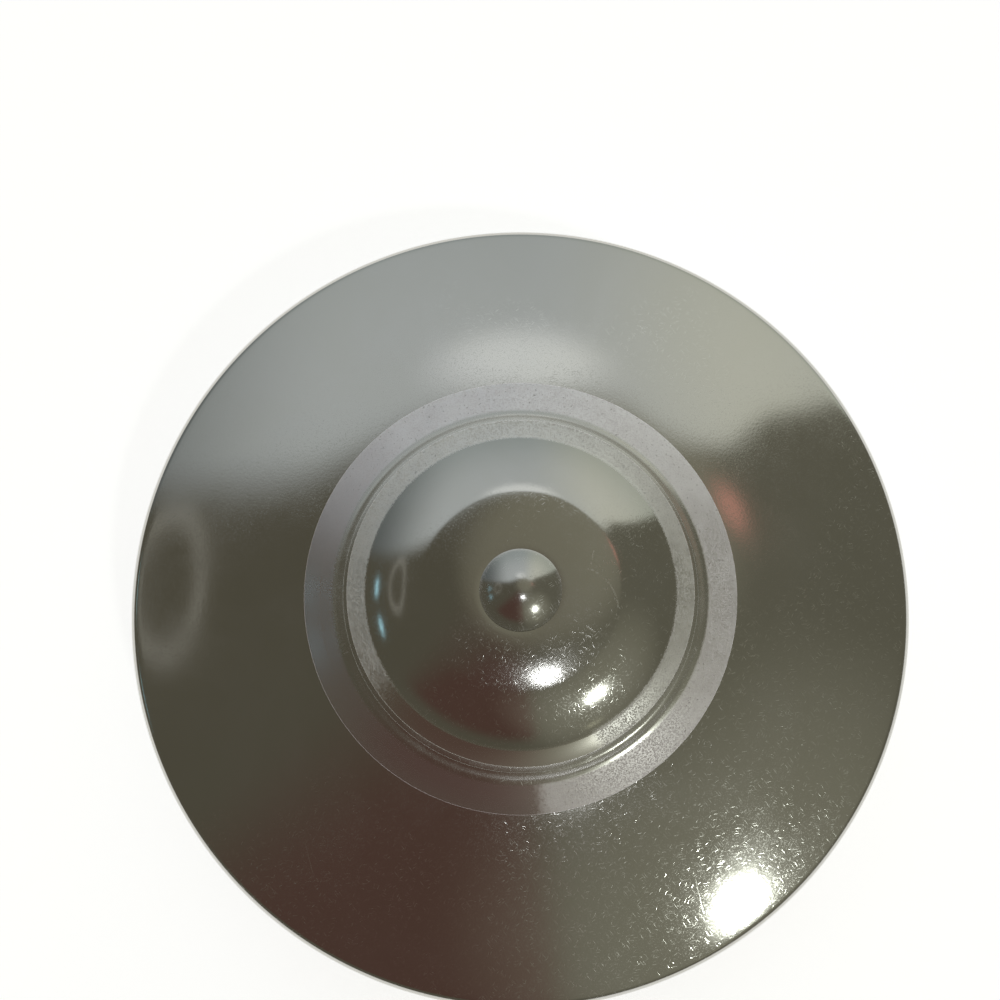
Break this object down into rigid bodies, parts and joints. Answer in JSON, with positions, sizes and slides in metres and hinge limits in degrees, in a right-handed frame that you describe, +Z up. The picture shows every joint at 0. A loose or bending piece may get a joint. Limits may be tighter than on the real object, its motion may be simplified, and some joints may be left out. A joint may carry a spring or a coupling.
{
  "type": "pie crust cutter sealer",
  "caption": "Round shallow-cup dough cutter with a sprung plunger knob on a central neck and a fluted inner crimper that seals the dough's edge.",
  "frame": {"origin": "centre of the round cutting edge, on the plane that the tool stands on", "axes": "+Z up along the tool's axis, from the cutting edge to the knob; +X and +Y lie in the plane of the cutting edge, with +Y towards the top of the picture"},
  "size_m": [0.092, 0.092, 0.0522],
  "materials": {
    "plated_steel": "bright plated sheet steel, a little worn, with fine scratches and scuffs",
    "satin_alloy": "matt, finely grained aluminium alloy",
    "plain_steel": "smooth bright steel",
    "spring_steel": "dark drawn wire",
    "bush_brass": "plain turned brass"
  },
  "bodies": {
    "cutter": {"cutter_shell": "plated_steel", "neck_sleeve": "satin_alloy", "neck_rivet_1": "plain_steel", "neck_rivet_2": "plain_steel", "neck_rivet_3": "plain_steel", "guide_bush": "bush_brass", "lower_spring_washer": "plain_steel", "return_spring": "spring_steel"},
    "spring_head": {"upper_spring_washer": "plain_steel"},
    "plunger": {"knob_core": "plain_steel", "knob_bell": "satin_alloy", "knob_cap": "plated_steel", "plunger_rod": "plain_steel", "crimper_top_washer": "plain_steel", "crimper": "plated_steel", "crimper_tail_washer": "plain_steel"}
  },
  "joints": [
    {"name": "plunger_press", "type": "slide", "parent": "cutter", "child": "spring_head", "axis": [0, 0, -1], "range_m": [0, 0.006], "stiffness_N_per_m": 1500, "springref_m": -0.006, "deforming": ["return_spring"]},
    {"name": "plunger_spin", "type": "hinge", "parent": "spring_head", "child": "plunger", "pos_m": [0, 0, 0.0415], "axis": [0, 0, 1], "continuous": true}
  ]
}
